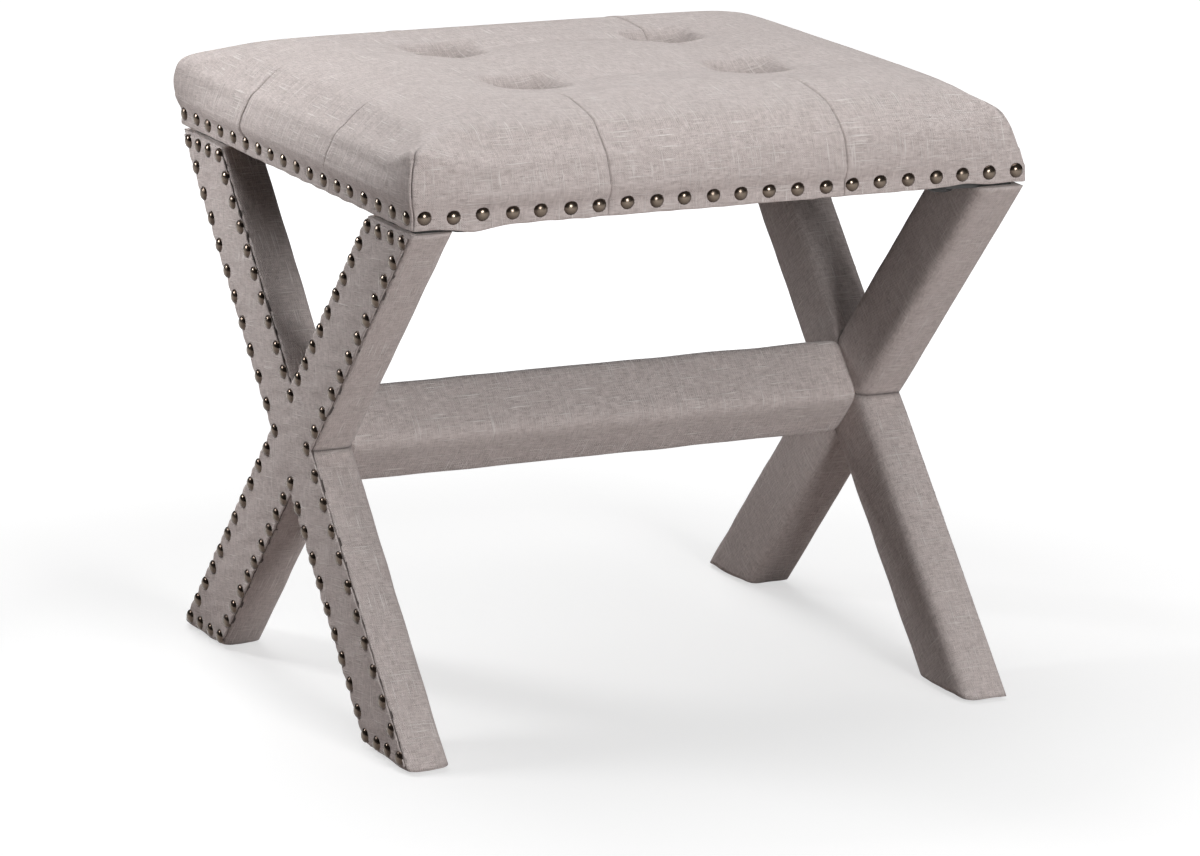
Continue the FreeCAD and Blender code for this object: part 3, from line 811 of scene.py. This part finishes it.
def makeSeat():
    bm = clothBox(seatForm["cells"])
    rows = 1 - 2 * seatForm["lipRows"] / seatForm["cells"][0]
    mouth = []
    for face in bm.faces:
        c = face.calc_center_median()
        if c.z < -onFace and max(abs(c.x), abs(c.y)) < rows:
            mouth.append(face)
    bmesh.ops.delete(bm, geom=mouth, context="FACES")
    shapeSeat(bm, simulation["inset"])
    mesh = bpy.data.meshes.new("seatDraft")
    bm.to_mesh(mesh)
    bm.free()
    puffCover(mesh)
    fine = smoothFiner(mesh)
    bm = bmesh.new()
    bm.from_mesh(fine)
    # the seam attribute carries painted shade for the tuft pockets, pleats and darts
    paintedShadeLayer = bm.verts.layers.float.new("seam")
    sinkTufts(bm, paintedShadeLayer)
    for run in pleatRuns():
        cutPleat(bm, run)
    for run in pleatRuns():
        foldPleat(bm, run, paintedShadeLayer)
    for sx in (-1, 1):
        for sy in (-1, 1):
            sewDart(bm, sx, sy, paintedShadeLayer)
    pullAtNails(bm)
    bm.normal_update()
    layWeave(bm)
    layTuftWeave(bm)
    piece = newPiece("seatCushion", bm, linen)
    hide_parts("seat_cover", "seat_foam")
    print("seat cushion made,", len(piece.data.polygons), "faces")


makeSeat()


# covered buttons at the bottom of the tufts

buttonForm = {"radius": 0.0105, "height": 0.0055, "around": 24, "rings": 12}


def makeButtons():
    bm = bmesh.new()
    size = Matrix.Diagonal((buttonForm["radius"], buttonForm["radius"], buttonForm["height"], 1.0))
    for x, y in tuftPlaces():
        verts = addBall(bm, buttonForm)
        bmesh.ops.transform(bm, matrix=Matrix.Translation((x, y, buttonLow.z)) @ size, verts=verts)
    for vert in bm.verts:
        vert.co.z = max(vert.co.z, buttonLow.z)
    bm.normal_update()
    layWeave(bm)
    piece = newPiece("tuftButtons", bm, linen)
    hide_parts("tuft_buttons")


makeButtons()
print("tuft buttons made")


# arms of the end frames

armForm = {
    "cells": (30, 12, 10), "edge": 0.0085, "outerEdge": {-1: 0.0030, 1: 0.0018}, "puff": 0.0009,
    "puffWidth": 0.75, "ripple": 0.0006, "rippleSize": 42.0, "wallRipple": 0.3, "edgeRipple": 0.8,
    "footWave": 0.0020, "footSize": 60.0, "footBias": 0.2, "seamTuck": 0.0008, "seamWidth": 0.02,
    "seamRow": 0.007, "seamShade": 0.7, "underPanel": {-1: 0.0010, 1: 0.0006}, "overEnd": 0.0003,
    "flatFacing": 0.7}


def armPoint(a, t, sy, up):
    # a goes from the outer edge to the V side, t from the crossing to the end
    if a < 0.5:
        near = Vector((crotchY * (1 - 2 * a), 0.0))
    else:
        near = Vector((0.0, crotchRise * (2 * a - 1)))
    far = Vector((legOuter + (legShape["innerReach"] - legOuter) * a, legTop - legMiddle))
    p = near.lerp(far, t)
    return Vector((sy * p.x, legMiddle + up * p.y))


def layArmWeave(bm, sy, up):
    # the cloth's threads follow the arm
    layer = bm.loops.layers.uv.verify()
    along = Vector((sy * legSlope, up)).normalized()
    across = Vector((-along.y, along.x))
    for face in bm.faces:
        flatSide = abs(face.normal.x) > armForm["flatFacing"]
        for loop in face.loops:
            x, y, z = loop.vert.co
            spot = Vector((y, z - legMiddle))
            loop[layer].uv = (across.dot(spot) if flatSide else x, along.dot(spot))


def creaseEnds(bm):
    # keeps the cut ends and the edges under the panel crisp
    layer = bm.edges.layers.float.new("crease_edge")
    for edge in bm.edges:
        a, b = (v.co for v in edge.verts)
        for axis, least in ((0, -2.0), (2, 0.0)):
            level = min(abs(a[axis]), abs(b[axis])) > onFace and min(a[axis], b[axis]) > least
            if level and len({round(f.normal[axis] * 9) for f in edge.link_faces}) > 1:
                edge[layer] = 1.0


def makeArm(label, side, sy, up):
    bm = clothBox(armForm["cells"])
    bm.normal_update()
    creaseEnds(bm)
    outerX = faceX - armForm["underPanel"][side]
    halfDeep = (outerX - innerX) / 2
    midX = (outerX + innerX) / 2
    halfWide = (legOuter - legShape["innerReach"]) / 2 / legSlant
    paintedShadeLayer = bm.verts.layers.float.new("seam")
    for vert in bm.verts:
        cx, cy, cz = vert.co
        across = cy * halfWide
        deep = cz * halfDeep
        radius = armForm["edge"] if cz < 0 else armForm["outerEdge"][side]
        across, deep = roundCorner(across, deep, halfWide, halfDeep, radius)
        t = (cx + 1) / 2
        # the row at the crossing gets painted shade, for the seam between the wraps
        if t < 0.001:
            vert[paintedShadeLayer] = armForm["seamShade"]
        elif t < 1.5 / armForm["cells"][0]:
            t = armForm["seamRow"]
        y, z = armPoint((across / halfWide + 1) / 2, t, sy, up)
        flat = armForm["puff"] * bump(cy, armForm["puffWidth"]) if cz < -onFace else 0.0
        spot = Vector((midX + deep - flat, y, z))
        shake = noise.noise(spot * armForm["rippleSize"] + Vector((side * 3.0, sy * 5.0, up * 7.0)))
        shake *= armForm["ripple"]
        if cz < -onFace:
            spot.x -= shake
        elif cz < onFace:
            spot.x += shake * armForm["wallRipple"]
        if abs(cy) > onFace:
            spot.y += shake * armForm["edgeRipple"] * sy * (1 if cy < 0 else -1)
        if cy < -onFace:
            spot.y -= sy * bump(t, armForm["seamWidth"]) * armForm["seamTuck"]
        if t > onFace:
            spot.z += up * armForm["overEnd"]
        if t > onFace and up < 0:
            size = armForm["footSize"]
            wave = noise.noise(Vector((spot.x * size, spot.y * size, side * 9.0 + sy * 4.0)))
            spot.z += armForm["footWave"] * max(wave + armForm["footBias"], 0.0)
        vert.co = Vector((side * spot.x, spot.y, spot.z))
    bmesh.ops.recalc_face_normals(bm, faces=bm.faces)
    layArmWeave(bm, sy, up)
    piece = newPiece(label + "Cloth", bm, linen)
    addFiner(piece)
    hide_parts(label)


for sideName, side in (("left", -1), ("right", 1)):
    for endName, up in (("top", 1), ("foot", -1)):
        for placeName, sy in (("front", -1), ("back", 1)):
            makeArm(f"{sideName}_wrap_{placeName}_{endName}", side, sy, up)
print("arm wraps made")


# outer face panels

panelForm = {
    "across": 24, "along": 70, "inset": {"left": 0.0014, "right": 0.0036}, "puff": 0.0006, "puffReach": 0.016,
    "pull": 0.0006, "pullWidth": 0.0062, "scallop": 0.0009, "scallopWidth": 0.0028, "fray": 0.0003,
    "fraySize": 160.0, "wrinkle": 0.0008, "wrinkleSize": (38.0, 150.0), "wrinkleSlant": 30.0,
    "cornerSmooth": 3, "cornerReach": 0.008, "weaveTilt": 0.12, "weldGap": 0.00002,
    "roll": ((0.0004, 0.0005, 0.0), (0.0, 0.0006, 0.85), (-0.0010, 0.0013, 1.0))}


def gridOnto(bm, cellsA, cellsB, corners):
    # a flat grid stretched onto four (y, z) corners
    made = bmesh.ops.create_grid(bm, x_segments=cellsA, y_segments=cellsB, size=0.5)
    p00, p10, p11, p01 = (Vector(c) for c in corners)
    for vert in made["verts"]:
        a, b = vert.co.x + 0.5, vert.co.y + 0.5
        y, z = p00.lerp(p10, a).lerp(p01.lerp(p11, a), b)
        vert.co = Vector((faceX, y, z))


def rimNormals(bm):
    # which way is out, in the panel's plane, at each point of its edge
    out = {}
    for edge in bm.edges:
        if edge.is_boundary:
            a, b = edge.verts
            side = Vector((0.0, b.co.z - a.co.z, a.co.y - b.co.y)).normalized()
            if side.dot(edge.link_faces[0].calc_center_median() - a.co) > 0:
                side = -side
            for vert in edge.verts:
                out[vert] = out.get(vert, Vector()) + side
    return {vert: side.normalized() for vert, side in out.items()}


def makePanel(sideName, side):
    bm = bmesh.new()
    paintedShadeLayer = bm.verts.layers.float.new("seam")
    inset = panelForm["inset"][sideName]
    o = faceOutline(inset * legSlant, inset)
    gridOnto(bm, panelForm["across"], panelForm["across"], [o[2], o[5], o[8], o[11]])
    for i in range(4):
        outerCrotch, outerEnd, innerEnd, innerCrotch = (o[(3 * i - 1 + k) % 12] for k in range(4))
        arm = (outerCrotch, innerCrotch, innerEnd, outerEnd)
        gridOnto(bm, panelForm["across"], panelForm["along"], arm)
    bmesh.ops.remove_doubles(bm, verts=bm.verts, dist=panelForm["weldGap"])
    places = faceNails[sideName]
    out = rimNormals(bm)
    tips = [Vector(o[k]) for k in (0, 1, 3, 4, 6, 7, 9, 10)]
    for vert in bm.verts:
        flat = Vector((vert.co.y, vert.co.z))
        gap = min((p - flat).length for p in places)
        pull = bump(gap, panelForm["pullWidth"])
        # fine pull lines, running level from nail to nail
        wide, tall = panelForm["wrinkleSize"]
        level = flat.y * tall + flat.x * panelForm["wrinkleSlant"]
        wave = noise.noise(Vector((flat.x * wide, level, side * 4.0))) * panelForm["wrinkle"]
        puff = panelForm["puff"] * (1 - bump(gap, panelForm["puffReach"]))
        vert.co.x += puff - panelForm["pull"] * pull + wave
        if vert in out:
            tuck = bump(gap - legShape["nailInset"], panelForm["scallopWidth"]) * panelForm["scallop"]
            size = panelForm["fraySize"]
            fray = noise.noise(Vector((flat.x * size, flat.y * size, side * 2.0)))
            vert.co -= out[vert] * (tuck + fray * panelForm["fray"])
    corners = []
    for vert in out:
        flat = Vector((vert.co.y, vert.co.z))
        if min((flat - tip).length for tip in tips) < panelForm["cornerReach"]:
            corners.append(vert)
    for turn in range(panelForm["cornerSmooth"]):
        bmesh.ops.smooth_vert(bm, verts=corners, factor=0.5, use_axis_y=True, use_axis_z=True)
    edges = [e for e in bm.edges if e.is_boundary]
    # each roll of the rim gets painted shade, darkest at the tucked-under edge, for the seam between panel
    # and wrap
    for grow, back, shade in panelForm["roll"]:
        out = rimNormals(bm)
        made = bmesh.ops.extrude_edge_only(bm, edges=edges)
        edges = [g for g in made["geom"] if isinstance(g, bmesh.types.BMEdge) and g.is_boundary]
        twin = {tuple(v.co): side for v, side in out.items()}
        for vert in {v for e in edges for v in e.verts}:
            vert.co += twin[tuple(vert.co)] * grow - Vector((back, 0.0, 0.0))
            vert[paintedShadeLayer] = shade
    bmesh.ops.scale(bm, vec=(side, 1.0, 1.0), verts=bm.verts)
    bmesh.ops.recalc_face_normals(bm, faces=bm.faces)
    if sum(f.normal.x * f.calc_area() for f in bm.faces) * side < 0:
        bmesh.ops.reverse_faces(bm, faces=bm.faces)
    bm.normal_update()
    layWeave(bm, panelForm["weaveTilt"])
    label = sideName + "_face_panel"
    piece = newPiece(label + "Cloth", bm, linen)
    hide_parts(label)


makePanel("left", -1)
makePanel("right", 1)
print("face panels made")


# stretcher

stretcherForm = {
    "cells": (60, 10, 10), "share": 0.92, "ridge": 0.009, "endEdge": 0.0008, "endReach": 0.006,
    "endGap": -0.0003, "puff": 0.0008, "puffWidth": 0.7, "ripple": 0.0007, "rippleSize": 26.0,
    "weaveFold": 0.4}


def makeStretcher():
    bm = clothBox(stretcherForm["cells"])
    halfY = stretcherForm["share"] * crotchY
    halfZ = halfY / legSlope
    halfLong = innerX - stretcherForm["endGap"]
    side = math.hypot(halfY, halfZ) / 2
    toUp = Vector((halfY, halfZ)) / (4 * side)
    toDown = Vector((halfY, -halfZ)) / (4 * side)
    for vert in bm.verts:
        cx, cy, cz = vert.co
        p, q = roundCorner(cy * side, cz * side, side, side, stretcherForm["ridge"])
        nearEnd = halfLong * (1 - abs(cx))
        tuck = stretcherForm["endEdge"] * max(0.0, 1 - nearEnd / stretcherForm["endReach"]) ** 2
        scale = 1 - tuck / side
        puff = stretcherForm["puff"] * bump(cy if abs(cz) > onFace else cz, stretcherForm["puffWidth"]) / side
        flat = (toUp * p + toDown * q) * 2 * (scale + puff)
        spot = Vector((cx * halfLong, flat.x, legMiddle + flat.y))
        shake = noise.noise(spot * stretcherForm["rippleSize"]) * stretcherForm["ripple"]
        away = Vector((0.0, flat.x, flat.y)).normalized()
        vert.co = spot + away * shake
    bmesh.ops.recalc_face_normals(bm, faces=bm.faces)
    layer = bm.loops.layers.uv.verify()
    for face in bm.faces:
        for loop in face.loops:
            x, y, z = loop.vert.co
            rise = z - legMiddle
            loop[layer].uv = (x, math.hypot(y, rise) * stretcherForm["weaveFold"] + rise)
    piece = newPiece("stretcherCloth", bm, linen)
    addFiner(piece)
    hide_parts("stretcher_wrap")


makeStretcher()
print("stretcher made")


# nail heads

nailForm = {"around": 14, "rings": 8, "cutAt": -0.01, "lean": 0.08, "seatSink": 0.0007,
            "faceSink": {"left": 0.0007, "right": 0.0020}}
seatFacing = {"front": (0, -1, 0), "back": (0, 1, 0), "left": (-1, 0, 0), "right": (1, 0, 0)}


def addNail(bm, place, outward, sink, rubLayer):
    verts = addBall(bm, nailForm)
    under = [v for v in verts if v.co.z < nailForm["cutAt"]]
    bmesh.ops.delete(bm, geom=under, context="VERTS")
    verts = [v for v in verts if v.is_valid]
    for vert in verts:
        vert[rubLayer] = vert.co.z
    leanX = draw.uniform(-nailForm["lean"], nailForm["lean"])
    leanY = draw.uniform(-nailForm["lean"], nailForm["lean"])
    lean = Matrix.Rotation(leanX, 4, "X") @ Matrix.Rotation(leanY, 4, "Y")
    turn = outward.to_track_quat("Z", "Y").to_matrix().to_4x4()
    size = Matrix.Diagonal((nailRadius, nailRadius, nailRise, 1.0))
    spot = Matrix.Translation(place - outward * sink)  # pressed into the cloth
    bmesh.ops.transform(bm, matrix=spot @ turn @ lean @ size, verts=verts)


def makeNails(label, places, outward, sink):
    bm = bmesh.new()
    rubLayer = bm.verts.layers.float.new("rub")
    for place in places:
        addNail(bm, place, outward, sink, rubLayer)
    piece = newPiece(label + "Heads", bm, nailBronze)
    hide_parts(label)


for label, outward in seatFacing.items():
    makeNails("seat_nails_" + label, seatNails[label], Vector(outward), nailForm["seatSink"])
for sideName, side in (("left", -1), ("right", 1)):
    spots = [Vector((side * faceX, p.x, p.y)) for p in faceNails[sideName]]
    makeNails(sideName + "_face_nails", spots, Vector((side, 0, 0)), nailForm["faceSink"][sideName])
print("nail heads made")


# floor, lights and camera

studio = {
    "floorSize": 14.0, "floorRoughness": 0.95, "floorSeen": (0.46, 0.46, 0.46, 1),
    "floorBounce": (0.37, 0.325, 0.312, 1), "floorGlow": 0.60, "glowFrom": 0.45, "glowTo": 1.3,
    "worldColor": (0.015, 0.015, 0.016, 1), "lampAim": (0.0, 0.0, 0.25),
    "frontPlace": (0.15, -2.7, 1.05), "frontSize": 0.8, "frontPower": 42.5,
    "topPlace": (0.0, 0.3, 2.4), "topSize": 2.2, "topPower": 33.0,
    "backPlace": (0.0, 1.9, 1.9), "backSize": 1.6, "backPower": 16.0,
    "spotPlace": (-0.75, 0.5, 0.63), "spotAim": (-0.24, -0.03, 0.21), "spotCone": 47.0,
    "spotBlend": 0.4, "spotRadius": 0.12, "spotPower": 16.0}


def hangLamp(lamp, place, aim, power):
    lamp.energy = power
    obj = linked(lamp.name, lamp)
    obj.visible_camera = False
    obj.location = place
    obj.rotation_euler = (Vector(aim) - Vector(place)).to_track_quat("-Z", "Y").to_euler()


def addLamps():
    for name in ("front", "top", "back"):
        lamp = bpy.data.lights.new(name + "Light", "AREA")
        lamp.shape = "DISK"
        lamp.size = studio[name + "Size"]
        hangLamp(lamp, studio[name + "Place"], studio["lampAim"], studio[name + "Power"])
    # a narrow lamp for the left end, kept off the far legs
    lamp = bpy.data.lights.new("spotLight", "SPOT")
    lamp.spot_size = math.radians(studio["spotCone"])
    lamp.spot_blend = studio["spotBlend"]
    lamp.shadow_soft_size = studio["spotRadius"]
    hangLamp(lamp, studio["spotPlace"], studio["spotAim"], studio["spotPower"])


def makeStudio():
    bm = bmesh.new()
    bmesh.ops.create_grid(bm, x_segments=2, y_segments=2, size=studio["floorSize"])
    mesh = bpy.data.meshes.new("floor")
    bm.to_mesh(mesh)
    bm.free()
    floor = linked("floor", mesh)
    material = bpy.data.materials.new("floorPaper")
    material.use_nodes = True
    tree = material.node_tree
    shader = tree.nodes["Principled BSDF"]
    feed(tree, shader, {"Roughness": studio["floorRoughness"], "Specular IOR Level": 0.0,
                        "Emission Strength": 1.0})
    path = addNode(tree, "LightPath", {}).outputs
    seen = mathNode(tree, "MAXIMUM", path["Is Camera Ray"], path["Is Glossy Ray"])
    seen = mathNode(tree, "MAXIMUM", seen, path["Is Transmission Ray"])
    # paper white away from the bench, a soft shadow under it
    coords = addNode(tree, "TexCoord", {})
    away = addNode(tree, "VectorMath", {0: coords.outputs["Object"]}, operation="LENGTH")
    far = ramp(tree, away.outputs["Value"], studio["glowFrom"], studio["glowTo"])
    glow = scaled(tree, far, 1.0 - studio["floorGlow"])
    glow = mathNode(tree, "ADD", glow, studio["floorGlow"])
    glow = scaled(tree, glow, seen)
    light = addNode(tree, "CombineColor", {0: glow, 1: glow, 2: glow})
    color = mixColor(tree, seen, studio["floorBounce"], studio["floorSeen"])
    feed(tree, shader, {"Emission Color": light.outputs[0], "Base Color": color})
    mesh.materials.append(material)
    world = bpy.data.worlds.new("studio")
    world.use_nodes = True
    back = world.node_tree.nodes["Background"]
    back.inputs["Color"].default_value = studio["worldColor"]
    bpy.context.scene.world = world
    addLamps()


cameraForm = {"azimuth": -25.88, "elevation": 13.83, "roll": 0.82, "distance": 4.046, "focalPixels": 5514.0,
              "imageWidth": 1200.0, "sensor": 36.0, "clipEnd": 100.0, "target": (0.0076, 0.0, 0.177)}


def makeCamera():
    a = math.radians(cameraForm["azimuth"])
    e = math.radians(cameraForm["elevation"])
    back = Vector((math.sin(a) * math.cos(e), -math.cos(a) * math.cos(e), math.sin(e)))
    right = Vector((math.cos(a), math.sin(a), 0.0))
    turn = Matrix.Rotation(math.radians(cameraForm["roll"]), 3, back)
    right = turn @ right
    up = back.cross(right)
    lens = bpy.data.cameras.new("camera")
    lens.sensor_width = cameraForm["sensor"]
    lens.lens = cameraForm["focalPixels"] / cameraForm["imageWidth"] * lens.sensor_width
    lens.clip_end = cameraForm["clipEnd"]
    camera = linked("camera", lens)
    place = Vector(cameraForm["target"]) + back * cameraForm["distance"]
    camera.matrix_world = Matrix.Translation(place) @ Matrix((right, up, back)).transposed().to_4x4()
    bpy.context.scene.camera = camera


makeStudio()
makeCamera()
bpy.context.scene.view_settings.view_transform = "Standard"
print("studio and camera set")
